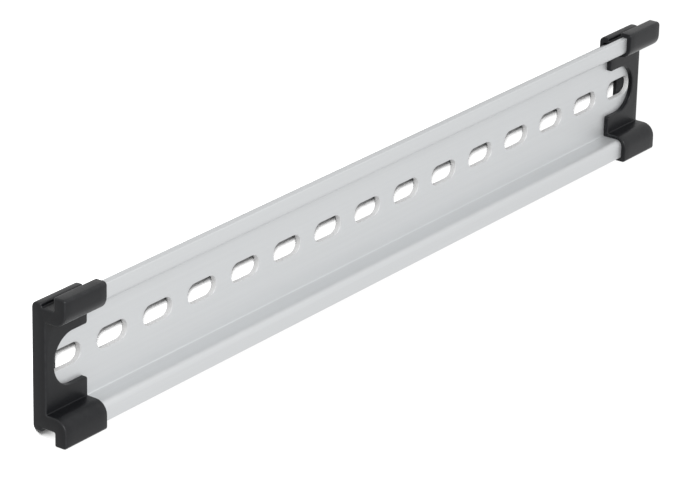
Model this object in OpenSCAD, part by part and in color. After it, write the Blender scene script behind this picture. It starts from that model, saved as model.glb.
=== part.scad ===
// Slotted 35 mm top-hat mounting rail with a moulded cap pushed over each end.
// It lies on its back: x runs along the rail, y across it, z up through the open front.
// The origin is under the middle of the rail, on the plane the caps rest on.

/* [Rail] */
// length of the metal rail
rail_l = 250; // [120:1:1000]
// width over both flanges
rail_w = 35; // [30:0.5:40]
// depth from the back of the web to the front of the flanges
rail_d = 7.5; // [6:0.5:15]
// metal thickness
rail_t = 1.5; // [1:0.1:2]
// width of the trough between the side walls
trough_w = 25; // [22:0.5:27]
// radius of the rounded front corners of the side walls
bend_r = 1.8; // [0.8:0.1:2.5]
// radius of the small fillets and of the back corners
fillet_r = 0.4; // [0.2:0.1:0.8]

/* [Slots] */
// number of slots in the web
slot_n = 15; // [4:1:60]
// distance from one slot to the next
slot_pitch = 16.8; // [14:0.1:40]
// overall length of a slot
slot_l = 11; // [7:0.1:25]
// width of a slot, which is also the diameter of its round ends
slot_w = 5.3; // [4:0.1:6.5]
// distance from the left end of the rail to the middle of the first slot
slot_first = 7.4; // [5.5:0.1:20]

/* [End caps] */
// length of a cap along the rail, with its end wall
cap_l = 14.8; // [13:0.1:25]
// thickness of the wall that closes the end of the rail
cap_end_t = 1.1; // [0.8:0.1:2]
// thickness of the plate behind the web
cap_back_t = 1.2; // [0.8:0.1:2]
// thickness of the plate in front of the web and of the lips over the flanges
cap_front_t = 1.4; // [0.8:0.1:2]
// thickness of the lining on the side walls of the trough
cap_side_t = 1; // [0.8:0.1:1.5]
// thickness of the walls past the edges of the flanges
cap_edge_t = 1.2; // [0.8:0.1:2]
// thickness of the walls outside the side walls of the rail
cap_crown_t = 1.2; // [0.8:0.1:2]
// gap between a cap and the rail
cap_fit = 0.05; // [0.05:0.01:0.2]
// radius of the rounded shoulders that lead from the trough to the lips
shoulder_r = 3.4; // [2:0.1:4]
// radius of the outer front edges of the lips
lip_r = 0.9; // [0.3:0.1:1]

/* [Cap feet] */
// height of the two feet beyond the walls on the side walls
foot_h = 1; // [0.5:0.1:2]
// depth of the feet from the resting plane
foot_d = 2.9; // [2.2:0.1:3.4]
// radius of the outer back corners of the feet
foot_r = 1.5; // [0.5:0.1:1.6]
// width of the relief groove inside each foot
groove_w = 1.3; // [0.6:0.1:1.4]
// depth of the relief groove inside each foot
groove_d = 0.6; // [0.3:0.1:0.8]
// thickness of the wall behind each flange
hook_back_t = 0.6; // [0.5:0.1:1.2]

/* [Cap cutouts] */
// width of the round-ended cutout in the front plate
bite_w = 13.4; // [8:0.1:18]
// metal-side length of plate left between that cutout and the outer end
bite_keep = 3.1; // [2:0.1:5]
// width of the cutout in the back plate
back_cut_w = 18; // [8:0.5:22]
// depth of the cutout in the back plate, from its inner edge
back_cut_d = 8; // [3:0.5:10]
// corner radius of the cutout in the back plate
back_cut_r = 3; // [1:0.5:5]

/* [Hidden] */
$fn = 64;
eps = 0.02;
half_w = rail_w / 2;
half_in = trough_w / 2;
half_out = half_in + rail_t;
// heights above the resting plane
z_back = cap_back_t;
z_web = z_back + rail_t;
z_top = z_back + rail_d;
z_under = z_top - rail_t;
// the cap section
y_side = half_in - cap_side_t;
y_wall = half_out + cap_crown_t;
y_foot = y_wall + foot_h;
y_edge = half_w + cap_edge_t;
z_plate = z_web + cap_front_t;
z_lip = z_top + cap_front_t;
z_hook = z_under - hook_back_t;
slot_x0 = -rail_l / 2 + slot_first;

// Adds a round fillet in the inner corner at (y, z); sy and sz point away from the metal.
module fillet(y, z, sy, sz, r) {
    translate([y, z]) scale_sign(sy, sz)
        difference() {
            translate([-eps, -eps]) square([r + eps, r + eps]);
            translate([r, r]) circle(r);
        }
}

// The piece to take away so that the outer corner at (y, z) is round; sy and sz point into the metal.
module round_off(y, z, sy, sz, r) {
    translate([y, z]) scale_sign(sy, sz)
        difference() {
            translate([-eps, -eps]) square([r + eps, r + eps]);
            translate([r, r]) circle(r);
        }
}

module scale_sign(sy, sz) {
    mirror([sy < 0 ? 1 : 0, 0]) mirror([0, sz < 0 ? 1 : 0]) children();
}

// Half of the hat section of the rail, grown by g on every face.
module hat_half(g) {
    difference() {
        union() {
            translate([-1, z_back - g]) square([half_out + g + 1, rail_t + 2 * g]);
            translate([half_in - g, z_back - g]) square([rail_t + 2 * g, rail_d + 2 * g]);
            translate([half_in - g, z_under - g]) square([half_w - half_in + 2 * g, rail_t + 2 * g]);
            fillet(half_in - g, z_web + g, -1, 1, fillet_r);
            fillet(half_out + g, z_under - g, 1, -1, fillet_r);
        }
        round_off(half_in - g, z_top + g, 1, -1, bend_r + g);
        round_off(half_out + g, z_back - g, -1, 1, fillet_r + g);
    }
}

module hat(g) {
    hat_half(g);
    mirror([1, 0]) hat_half(g);
}

// Half of the full outline of a cap: plate, side, shoulder, lip, edge wall, notch and foot.
module cap_outline_half() {
    difference() {
        union() {
            translate([-1, 0]) square([y_wall + 1, z_plate]);
            translate([y_side, 0]) square([y_wall - y_side, z_lip]);
            translate([y_side, z_hook]) square([y_edge - y_side, z_lip - z_hook]);
            translate([y_side, 0]) square([y_foot - y_side, foot_d]);
            fillet(y_side, z_plate, -1, 1, 0.5);
        }
        round_off(y_side, z_lip, 1, -1, shoulder_r);
        round_off(y_edge, z_lip, -1, -1, lip_r);
        round_off(y_foot, 0, -1, 1, foot_r);
    }
}

module cap_outline() {
    cap_outline_half();
    mirror([1, 0]) cap_outline_half();
}

module foot_groove() {
    translate([half_out - 0.5, z_back]) square([groove_d + 0.5, groove_w]);
}

// Extrudes a section drawn in y and z along x from x0 to x1.
module along_x(x0, x1) {
    translate([x0, 0, 0]) rotate([90, 0, 90]) linear_extrude(x1 - x0) children();
}

// Round-ended slot through the web, with its middle at x.
module slot(x) {
    run = (slot_l - slot_w) / 2;
    translate([x - run, 0, z_back - 1]) cylinder(d = slot_w, h = rail_t + 2);
    translate([x + run, 0, z_back - 1]) cylinder(d = slot_w, h = rail_t + 2);
    translate([x - run, -slot_w / 2, z_back - 1]) cube([2 * run, slot_w, rail_t + 2]);
}

module rail() {
    color([0.80, 0.81, 0.82])
    difference() {
        along_x(-rail_l / 2, rail_l / 2) hat(0);
        for (i = [0 : slot_n - 1]) slot(slot_x0 + i * slot_pitch);
    }
}

// A cap with its outer face at x = 0 and its mouth toward +x.
module cap() {
    r = bite_w / 2;
    union() {
        along_x(0, cap_end_t) cap_outline();
        difference() {
            along_x(cap_end_t - eps, cap_l) difference() {
                cap_outline();
                hat(cap_fit);
                foot_groove();
                mirror([1, 0]) foot_groove();
            }
            // round-ended cutout in the front plate
            translate([bite_keep + r, 0, z_web - 0.5]) cylinder(r = r, h = rail_d + 5);
            translate([bite_keep + r, -r, z_web - 0.5]) cube([cap_l, 2 * r, rail_d + 5]);
            // shallower cutout in the back plate
            back_cut();
        }
    }
}

module back_cut() {
    x0 = cap_l - back_cut_d;
    r = back_cut_r;
    h = cap_back_t + 0.5;
    for (s = [-1, 1])
        translate([x0 + r, s * (back_cut_w / 2 - r), -0.3]) cylinder(r = r, h = h);
    translate([x0, -back_cut_w / 2 + r, -0.3]) cube([back_cut_d + 1, back_cut_w - 2 * r, h]);
    translate([x0 + r, -back_cut_w / 2, -0.3]) cube([back_cut_d + 1, back_cut_w, h]);
}

module left_end_cap() {
    color([0.16, 0.16, 0.17])
    translate([-rail_l / 2 - cap_end_t - cap_fit, 0, 0]) cap();
}

module right_end_cap() {
    color([0.16, 0.16, 0.17])
    rotate([0, 0, 180]) translate([-rail_l / 2 - cap_end_t - cap_fit, 0, 0]) cap();
}

rail();
left_end_cap();
right_end_cap();
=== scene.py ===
# %% [markdown]
# # A slotted top-hat mounting rail with two end caps
# The part is a straight metal rail with a hat-shaped section, a row of round-ended slots along its web,
# and a black moulded cap pushed over each end. It lies on its back: x runs along the rail, y across it
# and z comes up out of the open front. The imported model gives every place; this script gives the looks.
# Sizes below are written in millimetres, as a maker would, and turned into metres when a mesh is made.

import bmesh
import bpy
import numpy as np
from mathutils import Matrix, Vector


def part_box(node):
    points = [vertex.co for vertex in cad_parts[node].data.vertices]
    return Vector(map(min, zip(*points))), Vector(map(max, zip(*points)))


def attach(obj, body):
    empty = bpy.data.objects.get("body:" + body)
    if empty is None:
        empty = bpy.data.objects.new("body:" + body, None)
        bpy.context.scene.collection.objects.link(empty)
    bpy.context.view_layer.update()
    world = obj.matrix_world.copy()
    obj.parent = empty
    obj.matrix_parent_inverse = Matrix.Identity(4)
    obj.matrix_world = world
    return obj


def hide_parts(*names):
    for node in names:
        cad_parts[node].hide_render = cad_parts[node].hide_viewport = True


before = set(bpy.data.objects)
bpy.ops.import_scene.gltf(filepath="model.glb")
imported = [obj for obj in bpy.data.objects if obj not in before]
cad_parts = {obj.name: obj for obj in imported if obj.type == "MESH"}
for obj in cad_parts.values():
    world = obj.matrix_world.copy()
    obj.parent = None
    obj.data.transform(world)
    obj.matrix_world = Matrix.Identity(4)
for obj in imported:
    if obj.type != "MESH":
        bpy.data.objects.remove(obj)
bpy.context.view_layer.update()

MM = 0.001

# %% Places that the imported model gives
rail_low, rail_high = (np.array(c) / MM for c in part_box("rail"))
cap_low, cap_high = (np.array(c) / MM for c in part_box("left_end_cap"))
print("rail, mm:", rail_low.round(3), rail_high.round(3))
print("left cap, mm:", cap_low.round(3), cap_high.round(3))

# %% [markdown]
# ## The camera comes first
# A long lens looks down on the rail from beyond its left end, rolled so that the rail climbs to the right.
# The three columns of its turn are the directions of the picture's right, the picture's top, and back
# from the object to the lens. Writing the turn as a matrix keeps a rolled view exact, where a
# look-at rule would always put world z upright.

# %% Camera
camera_data = bpy.data.cameras.new("studio_camera")
camera_data.sensor_width = 36.0
camera_data.lens = 191.94
camera_data.clip_start = 0.01
camera_data.clip_end = 20.0
camera = bpy.data.objects.new("studio_camera", camera_data)
bpy.context.scene.collection.objects.link(camera)
camera_right = Vector((0.5954213, 0.0216676, 0.8031214))
camera_top = Vector((0.2935766, 0.9246396, -0.2425991))
camera_back = Vector((-0.7478544, 0.3802263, 0.5441891))
camera_place = Vector((-0.707002, 0.349842, 0.510831))
turn = Matrix((camera_right, camera_top, camera_back)).transposed()
camera.matrix_world = Matrix.Translation(camera_place) @ turn.to_4x4()
bpy.context.scene.camera = camera
print("camera looks down at", round(float(np.degrees(np.arcsin(camera_back.z))), 1), "degrees")

# %% [markdown]
# ## Helpers for surfaces worked out as arrays
# Two ideas make every piece here. A section is a list of corners, each rounded by its own arc. A grid is a
# block of points, one row after another, that becomes quads between neighbouring rows. Pieces made of
# several grids are stitched by joining the points that fall on the same place.


# %% Points between two ends
def between(first, last, count):
    """That many values strictly between two ends, in equal steps."""
    return np.linspace(first, last, count + 2)[1:-1]


print("three values between 0 and 1:", between(0, 1, 3))


# %% Rounded corners
def rounded(corners, radii, segments):
    """Rounds each corner of an open line of corners with an arc.

    With unit vectors u and v from the corner to its neighbours and a the angle between them, the arc starts
    r / tan(a / 2) along u, ends as far along v, and its centre is r / sin(a / 2) from the corner on the
    line that halves the angle. Points on it blend the two radii by sines, which keeps them on the circle.
    The first and last corners are only neighbours. Returns (corners - 2) * (segments + 1) points.
    """
    p = np.asarray(corners, float)
    r = np.asarray(radii, float)[:, None]
    u, v = p[:-2] - p[1:-1], p[2:] - p[1:-1]
    u /= np.linalg.norm(u, axis=1, keepdims=True)
    v /= np.linalg.norm(v, axis=1, keepdims=True)
    angle = np.arccos(np.clip((u * v).sum(1), -1, 1))[:, None]
    halving = (u + v) / np.linalg.norm(u + v, axis=1, keepdims=True)
    centre = p[1:-1] + halving * r / np.sin(angle / 2)
    start = p[1:-1] + u * r / np.tan(angle / 2) - centre
    end = p[1:-1] + v * r / np.tan(angle / 2) - centre
    swept = (np.pi - angle)[:, :, None]
    t = np.linspace(0, 1, segments + 1)[None, :, None]
    arc = (np.sin((1 - t) * swept) * start[:, None] + np.sin(t * swept) * end[:, None]) / np.sin(swept)
    return (arc + centre[:, None]).reshape(-1, 2)


print("a right angle rounded by 1 in two steps:", rounded([(2, 0), (0, 0), (0, 2)], [1], 2).round(3).tolist())


# %% Normals along a section
def section_normals(points):
    """Unit normals of an open line of points: each is the mean direction of its two neighbours turned by
    a right angle, to the left of the way the line runs."""
    along = np.gradient(points, axis=0)
    along /= np.linalg.norm(along, axis=1, keepdims=True)
    return np.stack([-along[:, 1], along[:, 0]], axis=1)


print("normal of a line to the right:", section_normals(np.array([(0.0, 0.0), (1.0, 0.0)]))[0])


# %% Grids
def grid_quads(rows, columns, closed):
    """Corner numbers of the quads of a grid whose points are numbered row by row. A closed grid joins its
    last column to its first."""
    last = columns if closed else columns - 1
    i, j = np.meshgrid(np.arange(rows - 1), np.arange(last), indexing="ij")
    right = (j + 1) % columns
    here, below = i * columns, (i + 1) * columns
    return np.stack([here + j, here + right, below + right, below + j], -1).reshape(-1, 4)


print("3 rows of 4 points make", len(grid_quads(3, 4, False)), "quads, closed", len(grid_quads(3, 4, True)))


# %% Stitching and meshes
def stitched(points, edge, quads):
    """Joins points that lie on the same place, found as equal whole numbers of half microns, and drops
    quads that lost their area by it. The shift keeps round sizes away from the steps between numbers."""
    half_microns_per_mm, shift = 2000, 0.3137
    key = np.floor(points * half_microns_per_mm + shift).astype(np.int64)
    _, first, same = np.unique(key, axis=0, return_index=True, return_inverse=True)
    quads = same.reshape(-1)[quads]
    spread = np.sort(quads, axis=1)
    whole = (np.diff(spread, axis=1) > 0).all(axis=1)
    return points[first], edge[first], quads[whole]


def make_piece(name, points, edge, quads, rings=()):
    """A closed mesh from points in millimetres, quads and rings of point numbers that close its ends. The
    sign of the enclosed volume, a sixth of the sum of a . (b x c) over its triangles, says whether the
    faces point outwards, and the whole mesh is turned over if they don't."""
    mesh = bpy.data.meshes.new(name)
    faces = [tuple(q) for q in quads.tolist()] + [tuple(ring) for ring in rings]
    mesh.from_pydata((points * MM).tolist(), [], faces)
    mesh.attributes.new("edge", "FLOAT", "POINT").data.foreach_set("value", edge.astype(np.float32))
    work = bmesh.new()
    work.from_mesh(mesh)
    open_edges = [e for e in work.edges if e.is_boundary]
    if open_edges:
        bmesh.ops.holes_fill(work, edges=open_edges, sides=0)
    if work.calc_volume(signed=True) < 0:
        bmesh.ops.reverse_faces(work, faces=work.faces[:])
    bad = sum(not (e.is_manifold and e.is_contiguous) for e in work.edges)
    volume = work.calc_volume() / MM**3
    work.to_mesh(mesh)
    work.free()
    mesh.validate()
    mesh.update()
    piece = bpy.data.objects.new(name, mesh)
    bpy.context.scene.collection.objects.link(piece)
    print(f"{name}: {len(mesh.polygons)} faces, {volume:.1f} mm3, {bad} edges open, doubled or turned over")
    return piece


# %% [markdown]
# ## The rail
# The real rail is one extruded length of metal with a hat section: a flat web, two side walls, two flanges.
# A long box with holes cut by Booleans would leave ragged triangles round every slot. Instead the web is
# laid out as fifteen square-edged cells, one for each slot. In a cell the section through the metal is
# carried round the slot, so the slot gets fine rolled edges in front and behind, as a punch leaves them.
# The side walls and flanges are one section carried along x through the same stations.

# %% Sizes of the rail
metal = 1.5
rail_half = rail_high[1]
web_back, web_front = rail_low[2], rail_low[2] + metal
flange_front, flange_back = rail_high[2], rail_high[2] - metal
wall_in, wall_out = 12.5, 14.0
slot_count, slot_pitch, slot_run, slot_radius, slot_first = 15, 16.8, 2.85, 2.65, 7.4
slot_middles = rail_low[0] + slot_first + slot_pitch * np.arange(slot_count)
cell_half_width = 5.0
cell_ends = np.concatenate([[rail_low[0]], (slot_middles[1:] + slot_middles[:-1]) / 2, [rail_high[0]]])
print("slots from", slot_middles[0].round(2), "to", slot_middles[-1].round(2), "mm")


# %% [markdown]
# Each point of a mesh carries, in the attribute called edge, how far its colour is lightened: 0 on a face, up
# to 1 on an edge that hands rub, which on the caps is partly wear and partly painted highlight, and the first
# number below on the walls of the slots, which are painted almost white as painted light for brightly lit
# walls. The rail's inner side walls and the bend up into each flange carry a little more than 1, painted
# light that lifts their shade. The second number below has one value for each point of that bend's arc, from
# the wall to the flange.

# %% How pale the slot walls and the side walls are painted, as painted light
SLOT_WALL_LIGHT = 3.0
SIDE_WALL_LIGHT = np.array([1.17, 1.18, 1.2, 1.1, 0.0, 0.0, 0.0])
print("a cut wall carries", SLOT_WALL_LIGHT, "and a corner up to", SIDE_WALL_LIGHT.max())


# %% One slot outline
top_points, side_points = 5, 7
top_steps, side_steps = 3 * top_points - 1, side_points + 1


def slot_outline():
    """Points and outward directions of a round-ended slot about its own middle, clockwise from the upper
    left. Each end is a half circle of radius r about a point at -run or +run, split at 45 degrees, and the
    straight sides join them."""
    turn_down = np.radians(np.linspace(135, 90, top_points))
    top_left = np.stack([np.cos(turn_down), np.sin(turn_down)], 1)
    top_right = top_left[::-1] * [-1, 1]
    flat = np.tile([[0.0, 1.0]], (top_points, 1))
    top_way = np.concatenate([top_left, flat, top_right])
    right_end = np.full(top_points, slot_run)
    top_middle = np.concatenate([-right_end, between(-slot_run, slot_run, top_points), right_end])
    side = np.radians(between(45, -45, side_points))
    right_way = np.stack([np.cos(side), np.sin(side)], 1)
    way = np.concatenate([top_way, right_way, -top_way, -right_way])
    side_middle = np.full(side_points, slot_run)
    middle = np.concatenate([top_middle, side_middle, -top_middle, -side_middle])
    points = way * slot_radius
    points[:, 0] += middle
    return points, way


outline, outline_way = slot_outline()
print("slot outline:", len(outline), "points, length", round(float(np.ptp(outline[:, 0])), 2), "mm")


# %% The cells of the web
roll_front, roll_back, roll_points = 0.08, 0.05, 5
border_shares = (0.0, 0.35, 0.7)


def web_cells():
    """Carries the section through the metal round each slot. With w the way out of the slot, a point is
    slot outline + w * d at height z, where (d, z) runs over the front face, a quarter circle of radius
    roll_front, the slot wall, a quarter circle of radius roll_back and the back face. The outer rows
    blend to the cell's four straight edges by the border shares."""
    quarter = np.radians(np.linspace(0, 90, roll_points))
    d = np.concatenate([roll_front * (1 - np.sin(quarter)), roll_back * (1 - np.cos(quarter))])
    z = np.concatenate([web_front - roll_front * (1 - np.cos(quarter)),
                        web_back + roll_back * (1 - np.sin(quarter))])
    # The slot's walls rise to the high number, which paints them almost white: painted light for lit walls.
    cut = np.concatenate([np.linspace(0, SLOT_WALL_LIGHT, roll_points), np.linspace(SLOT_WALL_LIGHT, 0, roll_points)])
    left, right = cell_ends[:-1, None], cell_ends[1:, None]
    t_top, t_side = np.linspace(0, 1, top_steps + 1)[None], between(0, 1, side_points)[None]
    top_x = left + (right - left) * t_top
    side_y = np.broadcast_to(cell_half_width * (1 - 2 * t_side), (slot_count, side_steps - 1))
    border_x = np.concatenate([top_x, np.broadcast_to(right, side_y.shape), top_x[:, ::-1],
                               np.broadcast_to(left, side_y.shape)], 1)
    half = np.full(top_x.shape, cell_half_width)
    border_y = np.concatenate([half, side_y, -half, -side_y], 1)
    border = np.stack([border_x, border_y], -1)
    slot = outline[None] + np.stack([slot_middles, 0 * slot_middles], 1)[:, None]
    rows, heights, edges = [], [], []
    for share in border_shares:
        rows.append(border + (slot + outline_way * d[0] - border) * share)
        heights.append(web_front)
        edges.append(0.0)
    for offset, height, lightening in zip(d, z, cut):
        rows.append(slot + outline_way * offset)
        heights.append(height)
        edges.append(lightening)
    for share in reversed(border_shares):
        rows.append(border + (slot + outline_way * d[-1] - border) * share)
        heights.append(web_back)
        edges.append(0.0)
    flat = np.stack(rows, 1)
    shape = flat.shape[:3]
    points = np.concatenate([flat, np.broadcast_to(np.array(heights)[None, :, None, None], (*shape, 1))], -1)
    edge = np.broadcast_to(np.array(edges)[None, :, None], shape)
    quads = grid_quads(shape[1], shape[2], True)
    per_cell = shape[1] * shape[2]
    quads = (quads[None] + per_cell * np.arange(slot_count)[:, None, None]).reshape(-1, 4)
    return points.reshape(-1, 3), edge.reshape(-1), quads, top_x


web_points, web_edge, web_quads, top_x = web_cells()
stations = np.concatenate([top_x[:, :-1].reshape(-1), top_x[-1:, -1]])
print("web:", len(web_quads), "quads;", len(stations), "stations along x")


# %% The side walls and flanges
arc_steps = 6
per_corner = arc_steps + 1


def side_strip():
    """The section from the web's front face at the cells' edge, over the side wall and flange, to the
    web's back face, as rounded corners, carried along x: point (i, j) = (station i, section j)."""
    corners = [(cell_half_width, web_front), (wall_in, web_front), (wall_in, flange_front),
               (rail_half, flange_front), (rail_half, flange_back), (wall_out, flange_back),
               (wall_out, web_back), (cell_half_width, web_back)]
    radii = [0.4, 1.8, 0.3, 0.22, 0.4, 0.4]
    arcs = rounded(corners, radii, arc_steps)
    section = np.concatenate([[corners[0]], arcs, [corners[-1]]])
    # The inner side wall and most of the bend up to the flange are painted a little paler: painted light that
    # lifts their shade. The flange's two outer edges get wear.
    fillet_light = np.zeros(per_corner)
    fillet_light[-1] = SIDE_WALL_LIGHT[0]
    flange_edge_worn = np.sin(np.linspace(0, np.pi, per_corner))
    wear_and_painted_light = np.concatenate([[0.0], fillet_light, SIDE_WALL_LIGHT, flange_edge_worn, flange_edge_worn])
    wear_and_painted_light = np.concatenate([wear_and_painted_light, np.zeros(len(section) - len(wear_and_painted_light))])
    shape = (len(stations), len(section))
    x = np.broadcast_to(stations[:, None], shape)
    y, z = np.broadcast_to(section[:, 0], shape), np.broadcast_to(section[:, 1], shape)
    return np.stack([x, y, z], -1), np.broadcast_to(wear_and_painted_light, shape), grid_quads(*shape, False)


strip_points, strip_edge, strip_quads = side_strip()
mirrored = strip_points * [1, -1, 1]
all_points = np.concatenate([web_points, strip_points.reshape(-1, 3), mirrored.reshape(-1, 3)])
all_edge = np.concatenate([web_edge, strip_edge.reshape(-1), strip_edge.reshape(-1)])
first_strip, second_strip = len(web_points), len(web_points) + strip_edge.size
all_quads = np.concatenate([web_quads[:, ::-1], strip_quads[:, ::-1] + first_strip,
                            strip_quads + second_strip])
rail_piece = make_piece("slotted_rail", *stitched(all_points, all_edge, all_quads))

# %% [markdown]
# ## The end caps
# Each cap is one moulding: a wall over the rail's end, a plate behind the web, a plate in front of it with
# a round-ended cutout, and hooked lips round the flanges. Seen from the end it has one outline, so the
# cap is that outline carried along x. What makes it a cap is where the carrying stops: at the outer end it
# rolls over a rounded rim into the end face, and at the mouth it follows a path that dips round the two
# cutouts, rolls over and goes inside along the section of the rail.

# %% Sizes of a cap
cap_length = cap_high[0] - cap_low[0]
end_wall, plate_front, lip_front = 1.15, 4.1, cap_high[2]
side_y, notch_y, foot_y, edge_y = 11.5, 15.2, 16.2, cap_high[1]
hook_z, foot_z = 6.6, 2.9
bite_radius, bite_middle = 6.7, 9.8
back_cut_y, back_cut_x, back_cut_radius = 9.0, 6.8, 3.0
rim_radius, mouth_radius, mouth_corner = 0.45, 0.25, 0.6
front_reach, back_reach = 11.0, 14.7
groove_y, groove_z = 14.6, 2.5
fit_gap = 0.05
corner_steps, rim_steps, mouth_steps, body_steps = 6, 5, 4, 6
print("cap:", round(cap_length, 2), "mm long,", round(2 * edge_y, 2), "mm across its lips")


# %% The outline outside and the pocket inside, corner for corner
def cap_sections():
    """Half of the cap's outline and half of the pocket for the rail, as (y, z) corners rounded with the same
    number of points, so that each point of one has its partner in the other."""
    outside = [(0, plate_front), (side_y, plate_front), (side_y, lip_front), (edge_y, lip_front),
               (edge_y, hook_z), (notch_y, hook_z), (notch_y, foot_z), (foot_y, foot_z), (foot_y, 0), (0, 0)]
    outside_radii = [0.2, 3.4, 0.9, 0.5, 0.3, 0.3, 0.5, 1.5]
    gap = fit_gap
    inside = [(0, web_front + gap), (wall_in - gap, web_front + gap), (wall_in - gap, flange_front + gap),
              (rail_half + gap, flange_front + gap), (rail_half + gap, flange_back - gap),
              (wall_out + gap, flange_back - gap), (wall_out + gap, groove_z), (groove_y, groove_z),
              (groove_y, web_back - gap), (0, web_back - gap)]
    inside_radii = [0.35, 1.85, 0.1, 0.1, 0.35, 0.05, 0.05, 0.05]
    return rounded(outside, outside_radii, corner_steps), rounded(inside, inside_radii, corner_steps)


outside, inside = cap_sections()
outside_way = section_normals(outside)
print("half outline:", len(outside), "points")


# %% Where the carrying stops
def arc(middle, radius, from_deg, to_deg, steps):
    """Points middle + radius * (cos a, sin a) for angles from one to the other, in (y, x), and the
    directions (cos a, sin a)."""
    a = np.radians(np.linspace(from_deg, to_deg, steps + 1))
    way = np.stack([np.cos(a), np.sin(a)], 1)
    return np.array(middle) + radius * way, way


def along_x(y, first, last, count):
    """Points at one y with x between two ends, in (y, x)."""
    return np.stack([np.full(count, y), between(first, last, count)], 1)


def along_y(first, last, count):
    """Points on the mouth with y between two ends, in (y, x)."""
    return np.stack([between(first, last, count), np.full(count, cap_length)], 1)


INWARD, TO_MOUTH = [-1.0, 0.0], [0.0, 1.0]


def plate_paths():
    """The mouth's path across the front plate and the back plate, in (y, x), with the way out of the plastic
    at each point, and the y on the outer rim that each point is joined to.

    Front: a quarter of the cutout's round end, its straight side, a rounded corner, then the mouth.
    Back: the mouth, a rounded corner, the straight side, a hollow corner, then the cutout's floor.
    """
    corner = mouth_corner
    turn_x, hollow_x = cap_length - corner, back_cut_x + back_cut_radius
    end, end_way = arc((0, bite_middle), bite_radius, -90, 0, 18)
    turn_out, turn_out_way = arc((bite_radius + corner, turn_x), corner, 180, 90, 5)
    front = np.concatenate([end, along_x(bite_radius, bite_middle, turn_x, 4), turn_out,
                            along_y(bite_radius + corner, front_reach, 3)])
    front_way = np.concatenate([-end_way, np.tile(INWARD, (4, 1)), turn_out_way, np.tile(TO_MOUTH, (3, 1))])
    rim_end, rim_side, rim_turn = 7.0, 9.2, 9.9
    front_rim = np.concatenate([end[:, 0] * rim_end / bite_radius, between(rim_end, rim_side, 4),
                                np.linspace(rim_side, rim_turn, 6), between(rim_turn, front_reach, 3)])
    turn_in, turn_in_way = arc((back_cut_y + corner, turn_x), corner, 90, 180, 5)
    hollow, hollow_way = arc((back_cut_y - back_cut_radius, hollow_x), back_cut_radius, 0, -90, 8)
    floor_y = np.linspace(back_cut_y - back_cut_radius, 0, 6)[1:]
    floor = np.stack([floor_y, np.full(5, back_cut_x)], 1)
    back = np.concatenate([along_y(back_reach, back_cut_y + corner, 4), turn_in,
                           along_x(back_cut_y, turn_x, hollow_x, 2), hollow, floor])
    back_way = np.concatenate([np.tile(TO_MOUTH, (4, 1)), turn_in_way, np.tile(INWARD, (2, 1)),
                               -hollow_way, np.tile(TO_MOUTH, (5, 1))])
    rim_low, rim_turned, rim_down, rim_hollow = 12.6, 11.8, 9.7, 6.4
    back_rim = np.concatenate([between(back_reach, rim_low, 4), np.linspace(rim_low, rim_turned, 6),
                               between(rim_turned, rim_down, 2), np.linspace(rim_down, rim_hollow, 9),
                               np.linspace(rim_hollow, 0, 6)[1:]])
    return (front, front_way, front_rim), (back, back_way, back_rim)


(front, front_way, front_rim), (back, back_way, back_rim) = plate_paths()
print("mouth path:", len(front), "points in front,", len(back), "behind")


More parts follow.
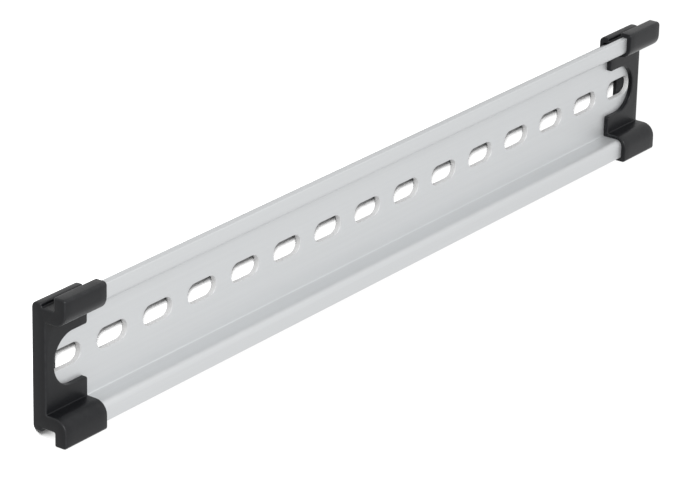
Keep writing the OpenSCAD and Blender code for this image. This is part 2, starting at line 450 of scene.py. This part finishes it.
# %% One cap as rows round its axis
def cap_grid():
    """Rows of points from the outer end face to the bottom of the pocket, for a cap whose outer face is at
    x = 0 and whose mouth looks along +x.

    Rim: outline point - n * R (1 - sin a), at x = R (1 - cos a), for a from 0 to 90 degrees.
    Body: equal blends from the rim to the mouth's path drawn back by r.
    Mouth: path + m * r (sin a - 1) - n * r (1 - cos a); n is the outline's normal and m the path's.
    Then straight to the pocket's section, and along it to the end wall.
    """
    middle = len(outside)
    n_front, n_back = len(front), len(back)

    def column(front_values, outline_values, back_values):
        return np.concatenate([front_values, outline_values, back_values])

    zero_f, zero_b, zero_m = np.zeros(n_front), np.zeros(n_back), np.zeros(middle)
    way = np.stack([column(zero_f, zero_m, zero_b), column(zero_f, outside_way[:, 0], zero_b),
                    column(zero_f + 1, outside_way[:, 1], zero_b - 1)], 1)
    rim = np.stack([column(zero_f, zero_m, zero_b), column(front_rim, outside[:, 0], back_rim),
                    column(zero_f + plate_front, outside[:, 1], zero_b)], 1)
    path = np.stack([column(front[:, 1], zero_m + cap_length, back[:, 1]),
                     column(front[:, 0], outside[:, 0], back[:, 0]),
                     column(zero_f + plate_front, outside[:, 1], zero_b)], 1)
    out = np.stack([column(front_way[:, 1], zero_m + 1, back_way[:, 1]),
                    column(front_way[:, 0], zero_m, back_way[:, 0]),
                    column(zero_f, zero_m, zero_b)], 1)

    def to_front(y):
        return np.interp(y, [0, 8.0, front_reach], [0, 8.0, 12.1])

    def to_back(y):
        return np.interp(y, [0, 9.7, back_reach], [0, 9.7, 14.55])

    pocket_z = column(zero_f + web_front + fit_gap, inside[:, 1], zero_b + web_back - fit_gap)
    mouth_y = column(to_front(front[:, 0]), inside[:, 0], to_back(back[:, 0]))
    end_y = column(to_front(front_rim), inside[:, 0], to_back(back_rim))
    pocket_mouth = np.stack([path[:, 0], mouth_y, pocket_z], 1)
    pocket_end = np.stack([np.full(len(path), end_wall), end_y, pocket_z], 1)
    x_axis = np.array([1.0, 0, 0])
    # The rolls of the rim and the mouth are made paler: wear and painted highlight.
    rows, wear_and_painted_light = [], []
    for a in np.radians(np.linspace(0, 90, rim_steps + 1)):
        rows.append(rim - way * rim_radius * (1 - np.sin(a)) + x_axis * rim_radius * (1 - np.cos(a)))
        wear_and_painted_light.append(np.sin(2 * a))
    drawn_back = path - out * mouth_radius
    start = rows[-1]
    for share in np.linspace(0, 1, body_steps + 1)[1:]:
        rows.append(start + (drawn_back - start) * share)
        wear_and_painted_light.append(0.0)
    for a in np.radians(np.linspace(0, 90, mouth_steps + 1))[1:]:
        rows.append(path + out * mouth_radius * (np.sin(a) - 1) - way * mouth_radius * (1 - np.cos(a)))
        wear_and_painted_light.append(np.sin(2 * a))
    rows += [pocket_mouth, pocket_end]
    wear_and_painted_light += [0.0, 0.0]
    half = np.stack(rows)
    turned = half[:, -2:0:-1] * [1, -1, 1]
    whole = np.concatenate([half, turned], axis=1)
    corner_wear_and_highlight = column(zero_f, outline_wear_and_highlight(), zero_b)
    corner_wear_and_highlight = np.concatenate([corner_wear_and_highlight, corner_wear_and_highlight[-2:0:-1]])
    edge = np.maximum(np.array(wear_and_painted_light)[:, None], corner_wear_and_highlight[None])
    edge[[0, -2, -1]] = 0
    return whole, edge


def outline_wear_and_highlight():
    """Wear and painted highlight along the outline: a half sine over each corner that stands out, none in the
    hollow ones.
    """
    stands_out = np.array([0, 0.35, 1, 1, 0, 0, 1, 0.6])
    return (stands_out[:, None] * np.sin(np.linspace(0, np.pi, corner_steps + 1))[None]).reshape(-1)


cap_rows, cap_edge = cap_grid()
row_count, around = cap_rows.shape[:2]
cap_quads = grid_quads(row_count, around, True)
end_rings = [list(range(around - 1, -1, -1)), list(range((row_count - 1) * around, row_count * around))]
left_points = cap_rows.reshape(-1, 3) + [cap_low[0], 0, 0]
left_cap = make_piece("left_cap", left_points, cap_edge.reshape(-1), cap_quads, end_rings)
right_cap = make_piece("right_cap", left_points * [-1, -1, 1], cap_edge.reshape(-1), cap_quads, end_rings)

# %% [markdown]
# ## Shading that follows the forms
# Flat faces should look flat and rolled edges round. Smooth shading with a limit on the angle does both,
# because every rounded edge above has real faces of its own.

# %% Smooth shading
sharp_from_degrees = 33
for piece in (rail_piece, left_cap, right_cap):
    mesh = piece.data
    mesh.polygons.foreach_set("use_smooth", np.ones(len(mesh.polygons), bool))
    mesh.set_sharp_from_angle(angle=np.radians(sharp_from_degrees))
    print(piece.name, "shaded, bounds", [round(v / MM, 2) for v in piece.dimensions])

# %% [markdown]
# ## Shared effects as node groups
# Three things happen on both the metal and the plastic: a fine grain from how it was made, paler edges and
# walls, and faint unevenness of sheen over centimetres. The paler edges are wear from handling and, on the
# caps, partly painted highlight; the near-white slot walls and paler inner side walls of the rail are painted
# light. Each is a node group with its own numbers per material, so the metal's long die lines and the
# plastic's eroded grain are the same recipe stretched differently.


# %% Group: grain
def new_group(name, inputs, outputs):
    """A shader node group with the named inputs, as (name, kind, default), and outputs, as (name, kind)."""
    group = bpy.data.node_groups.new(name, "ShaderNodeTree")
    for label, kind, default in inputs:
        socket = group.interface.new_socket(label, in_out="INPUT", socket_type=kind)
        if default is not None:
            socket.default_value = default
    for label, kind in outputs:
        group.interface.new_socket(label, in_out="OUTPUT", socket_type=kind)
    return group, group.nodes.new("NodeGroupInput"), group.nodes.new("NodeGroupOutput")


def math_node(tree, operation, first, second):
    """A Math node of that operation, each input a number or the socket that feeds it."""
    node = tree.nodes.new("ShaderNodeMath")
    node.operation = operation
    for slot_number, value in enumerate((first, second)):
        if isinstance(value, (int, float)):
            node.inputs[slot_number].default_value = value
        else:
            tree.links.new(value, node.inputs[slot_number])
    return node.outputs[0]


FLOAT, VECTOR = "NodeSocketFloat", "NodeSocketVector"
grain_group, g_in, g_out = new_group(
    "making_grain",
    [("Position", VECTOR, None), ("Stretch", VECTOR, (1.0, 1.0, 1.0)), ("Fine", FLOAT, 0.7)],
    [("Height", FLOAT), ("Tone", FLOAT)],
)
stretch = grain_group.nodes.new("ShaderNodeVectorMath")
stretch.operation = "MULTIPLY"
grain_group.links.new(g_in.outputs["Position"], stretch.inputs[0])
grain_group.links.new(g_in.outputs["Stretch"], stretch.inputs[1])
noises = []
for scale, detail in ((1.0, 3.0), (0.23, 2.0)):
    noise = grain_group.nodes.new("ShaderNodeTexNoise")
    noise.inputs["Scale"].default_value = scale
    noise.inputs["Detail"].default_value = detail
    noise.inputs["Roughness"].default_value = 0.6
    grain_group.links.new(stretch.outputs[0], noise.inputs["Vector"])
    noises.append(noise.outputs[0])
fine_part = math_node(grain_group, "MULTIPLY", noises[0], g_in.outputs["Fine"])
broad_share = math_node(grain_group, "SUBTRACT", 1.0, g_in.outputs["Fine"])
broad_part = math_node(grain_group, "MULTIPLY", noises[1], broad_share)
grain_group.links.new(math_node(grain_group, "ADD", fine_part, broad_part), g_out.inputs["Height"])
grain_group.links.new(noises[1], g_out.inputs["Tone"])
print("group", grain_group.name)

# %% Group: rubbed edges, painted highlight and painted light
wear_and_light_group, r_in, r_out = new_group(
    "wear_and_painted_light_edges",
    [("Position", VECTOR, None), ("Amount", FLOAT, 0.5), ("Patch Scale", FLOAT, 400.0)],
    [("Mask", FLOAT)],
)
edge_value = wear_and_light_group.nodes.new("ShaderNodeAttribute")
edge_value.attribute_name = "edge"
# Numbers above 1 lighten by this part: painted light on the rail's slot walls and inner side walls.
painted_light_part = wear_and_light_group.nodes.new("ShaderNodeMapRange")
painted_light_part.inputs["From Min"].default_value = 1.0
painted_light_part.inputs["From Max"].default_value = SLOT_WALL_LIGHT
wear_and_light_group.links.new(edge_value.outputs["Fac"], painted_light_part.inputs["Value"])
patches = wear_and_light_group.nodes.new("ShaderNodeTexNoise")
patches.inputs["Detail"].default_value = 4.0
wear_and_light_group.links.new(r_in.outputs["Position"], patches.inputs["Vector"])
wear_and_light_group.links.new(r_in.outputs["Patch Scale"], patches.inputs["Scale"])
uneven = math_node(wear_and_light_group, "MULTIPLY", patches.outputs[0], edge_value.outputs["Fac"])
strong = math_node(wear_and_light_group, "MULTIPLY", uneven, r_in.outputs["Amount"])
both = math_node(wear_and_light_group, "MAXIMUM", strong, painted_light_part.outputs["Result"])
wear_and_light_group.links.new(math_node(wear_and_light_group, "MINIMUM", both, 1.0), r_out.inputs["Mask"])
print("group", wear_and_light_group.name)

# %% Group: uneven sheen
sheen_group, s_in, s_out = new_group(
    "uneven_sheen",
    [("Position", VECTOR, None), ("Middle", FLOAT, 0.5), ("Spread", FLOAT, 0.1), ("Scale", FLOAT, 40.0)],
    [("Value", FLOAT)],
)
cloud = sheen_group.nodes.new("ShaderNodeTexNoise")
cloud.inputs["Detail"].default_value = 3.0
sheen_group.links.new(s_in.outputs["Position"], cloud.inputs["Vector"])
sheen_group.links.new(s_in.outputs["Scale"], cloud.inputs["Scale"])
about_zero = math_node(sheen_group, "SUBTRACT", cloud.outputs[0], 0.5)
swing = math_node(sheen_group, "MULTIPLY", about_zero, s_in.outputs["Spread"])
sheen_group.links.new(math_node(sheen_group, "ADD", swing, s_in.outputs["Middle"]), s_out.inputs["Value"])
print("group", sheen_group.name)


# %% [markdown]
# ## Finishes
# The rail is matt aluminium: pale grey, with very fine lines along its length and no mirror. Its slot walls
# are painted almost white and its inner side walls a little paler, painted light for lit walls.
# The caps are charcoal plastic from a spark-eroded mould, which gives a fine even grain and a
# satin sheen, a little smoother and paler where hands and packing have rubbed the edges; the paleness is
# partly wear and partly painted highlight.


# %% A finish from the groups
rub_smooths, rub_patches_per_m, sheen_clouds_per_m = 0.12, 500.0, 45.0


def finish(name, colour, wear_and_light_colour, metallic, specular, roughness, spread, stretch_by, fine, bump,
           wear_and_light_amount, tone):
    """One Principled material: base colour varied by the grain's tone and blended to a paler colour by the
    edge mask, which is partly wear and partly painted highlight and painted light, roughness from the uneven
    sheen less that mask, on metal less metallic there too, and a bump from the grain's height."""
    material = bpy.data.materials.new(name)
    material.use_nodes = True
    tree = material.node_tree
    shader = tree.nodes["Principled BSDF"]
    place = tree.nodes.new("ShaderNodeTexCoord")

    def use(group, **values):
        node = tree.nodes.new("ShaderNodeGroup")
        node.node_tree = group
        tree.links.new(place.outputs["Object"], node.inputs["Position"])
        for label, value in values.items():
            node.inputs[label.replace("_", " ")].default_value = value
        return node

    grain = use(grain_group, Stretch=stretch_by, Fine=fine)
    wear_and_light_mask = use(wear_and_light_group, Amount=wear_and_light_amount, Patch_Scale=rub_patches_per_m)
    sheen = use(sheen_group, Middle=roughness, Spread=spread, Scale=sheen_clouds_per_m)
    dark = tree.nodes.new("ShaderNodeMix")
    dark.data_type = "RGBA"
    dark.inputs["A"].default_value = (*[c * (1 - tone) for c in colour], 1)
    dark.inputs["B"].default_value = (*[c * (1 + tone) for c in colour], 1)
    tree.links.new(grain.outputs["Tone"], dark.inputs["Factor"])
    blend = tree.nodes.new("ShaderNodeMix")
    blend.data_type = "RGBA"
    blend.inputs["B"].default_value = (*wear_and_light_colour, 1)
    tree.links.new(wear_and_light_mask.outputs["Mask"], blend.inputs["Factor"])
    tree.links.new(dark.outputs["Result"], blend.inputs["A"])
    tree.links.new(blend.outputs["Result"], shader.inputs["Base Color"])
    less = math_node(tree, "MULTIPLY", wear_and_light_mask.outputs["Mask"], rub_smooths)
    tree.links.new(math_node(tree, "SUBTRACT", sheen.outputs["Value"], less), shader.inputs["Roughness"])
    relief = tree.nodes.new("ShaderNodeBump")
    relief.inputs["Strength"].default_value = 1.0
    relief.inputs["Distance"].default_value = bump
    tree.links.new(grain.outputs["Height"], relief.inputs["Height"])
    tree.links.new(relief.outputs["Normal"], shader.inputs["Normal"])
    # Metallic falls where the mask is, so the walls with painted light come out matt and bright.
    if metallic:
        outside_paler_mask = math_node(tree, "SUBTRACT", 1.0, wear_and_light_mask.outputs["Mask"])
        tree.links.new(math_node(tree, "MULTIPLY", outside_paler_mask, metallic), shader.inputs["Metallic"])
    shader.inputs["Specular IOR Level"].default_value = specular
    print("finish", name)
    return material


# The near-white colour is painted light on the slot walls and inner side walls, and wear on the flange edges.
metal_finish = finish(
    "matt_aluminium", colour=(0.652, 0.665, 0.674), wear_and_light_colour=(0.93, 0.93, 0.93), metallic=0.7,
    specular=0.5, roughness=0.5, spread=0.08, stretch_by=(60.0, 5000.0, 5000.0), fine=0.6,
    bump=0.000004, wear_and_light_amount=0.12, tone=0.03)
# The paler colour on the caps' edges is partly wear and partly painted highlight.
plastic_finish = finish(
    "charcoal_plastic", colour=(0.007, 0.0075, 0.009), wear_and_light_colour=(0.05, 0.051, 0.054), metallic=0.0,
    specular=0.24, roughness=0.34, spread=0.12, stretch_by=(3500.0, 3500.0, 3500.0), fine=0.7,
    bump=0.00003, wear_and_light_amount=0.8, tone=0.18)
rail_piece.data.materials.append(metal_finish)
for cap in (left_cap, right_cap):
    cap.data.materials.append(plastic_finish)

# %% Tie the pieces to the frame
for piece, node, slot_name in ((rail_piece, "rail", "rail_metal"), (left_cap, "left_end_cap", "cap_plastic"),
                               (right_cap, "right_end_cap", "cap_plastic")):
    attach(piece, "root")
    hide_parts(node)
    print(piece.name, "stands for", node)

# %% [markdown]
# ## The studio
# A white table stands under a soft even sky, with two square lamps on the left. The key lamp stands high and
# lights the part alone. The table lamp stands lower and lights the table alone, so each slot shows
# a shaded band under its upper edge, and no flange throws a hard shadow into the trough. Within a few
# millimetres of the part the camera sees the table as the lamp lights it, with the part's shadow on it;
# further out it sees plain white paper. How near the part is comes from ambient occlusion. What the part's
# own surface mirrors is a little dimmer, because the lamp would make it brighter than white paper.


# %% Rays that look
def looked_at(tree):
    """1 for a ray that comes from the camera, a mirror or glass, and 0 for one that gathers light."""
    kind = tree.nodes.new("ShaderNodeLightPath")
    mirrored_too = math_node(tree, "MAXIMUM", kind.outputs["Is Camera Ray"], kind.outputs["Is Glossy Ray"])
    return math_node(tree, "MAXIMUM", mirrored_too, kind.outputs["Is Transmission Ray"])


print("rays that look: camera, glossy, transmission")

# %% Table
table_mesh = bpy.data.meshes.new("table")
reach = 4.0
table_corners = [(-reach, -reach, 0), (reach, -reach, 0), (reach, reach, 0), (-reach, reach, 0)]
table_mesh.from_pydata(table_corners, [], [(0, 1, 2, 3)])
table = bpy.data.objects.new("table", table_mesh)
bpy.context.scene.collection.objects.link(table)
paper = bpy.data.materials.new("white_table")
paper.use_nodes = True
nodes, links = paper.node_tree.nodes, paper.node_tree.links
nodes.clear()
output = nodes.new("ShaderNodeOutputMaterial")
plain = nodes.new("ShaderNodeBsdfDiffuse")
plain.inputs["Color"].default_value = (0.10, 0.10, 0.10, 1)
mirrored = nodes.new("ShaderNodeLightPath").outputs["Is Glossy Ray"]


def less_in_mirrors(level, less):
    """A grey level for the camera, and less of it for a ray that the part's surface mirrors."""
    taken = math_node(paper.node_tree, "MULTIPLY", mirrored, less)
    return math_node(paper.node_tree, "SUBTRACT", level, taken)


seen = nodes.new("ShaderNodeBsdfDiffuse")
links.new(less_in_mirrors(0.32, 0.13), seen.inputs["Color"])
white = nodes.new("ShaderNodeEmission")
links.new(less_in_mirrors(1.05, 0.1), white.inputs["Strength"])
near = nodes.new("ShaderNodeAmbientOcclusion")
near.inputs["Distance"].default_value = 0.0055
near.samples = 16
share = nodes.new("ShaderNodeMapRange")
share.inputs["From Min"].default_value = 0.85
share.inputs["From Max"].default_value = 0.98
share.inputs["To Min"].default_value = 0.0
share.inputs["To Max"].default_value = 0.95
links.new(near.outputs["AO"], share.inputs["Value"])
shown = nodes.new("ShaderNodeMixShader")
links.new(share.outputs["Result"], shown.inputs["Fac"])
links.new(seen.outputs[0], shown.inputs[1])
links.new(white.outputs[0], shown.inputs[2])
choose = nodes.new("ShaderNodeMixShader")
links.new(looked_at(paper.node_tree), choose.inputs["Fac"])
links.new(plain.outputs[0], choose.inputs[1])
links.new(shown.outputs[0], choose.inputs[2])
links.new(choose.outputs[0], output.inputs["Surface"])
table_mesh.materials.append(paper)
print("table", 2 * reach, "m wide")

# %% Sky
world = bpy.data.worlds.new("studio")
bpy.context.scene.world = world
world.use_nodes = True
sky_nodes, sky_links = world.node_tree.nodes, world.node_tree.links
background = sky_nodes["Background"]
background.inputs["Color"].default_value = (1, 1, 1, 1)
level = sky_nodes.new("ShaderNodeMapRange")
level.inputs["To Min"].default_value = 0.5
level.inputs["To Max"].default_value = 1.0
sky_links.new(looked_at(world.node_tree), level.inputs["Value"])
sky_links.new(level.outputs["Result"], background.inputs["Strength"])
print("sky level", level.inputs["To Min"].default_value)


# %% Lamp
def soft_lamp(name, toward, distance, width, level_at_part):
    """A square lamp facing the part. The power that lights a facing white surface to the level e is
    pi^2 * distance^2 * e watts."""
    data = bpy.data.lights.new(name, "AREA")
    data.shape = "SQUARE"
    data.size = width
    data.energy = float(np.pi**2 * distance**2 * level_at_part)
    lamp = bpy.data.objects.new(name, data)
    toward = Vector(toward).normalized()
    lamp.location = toward * distance
    lamp.rotation_mode = "QUATERNION"
    lamp.rotation_quaternion = toward.to_track_quat("Z", "Y")
    bpy.context.scene.collection.objects.link(lamp)
    print(name, round(data.energy, 2), "W")
    return lamp


key_lamp = soft_lamp("key_lamp", toward=(-0.45, 0.55, 0.8), distance=1.3, width=0.4, level_at_part=0.6)
table_lamp = soft_lamp("table_lamp", toward=(-1.375, 1.2, 1.0), distance=1.3, width=0.3, level_at_part=9.0)
for lamp, lit in ((key_lamp, (rail_piece, left_cap, right_cap)), (table_lamp, (table,))):
    receivers = bpy.data.collections.new("lit_by_" + lamp.name)
    for thing in lit:
        receivers.objects.link(thing)
    lamp.light_linking.receiver_collection = receivers

bpy.context.scene.view_settings.view_transform = "Standard"
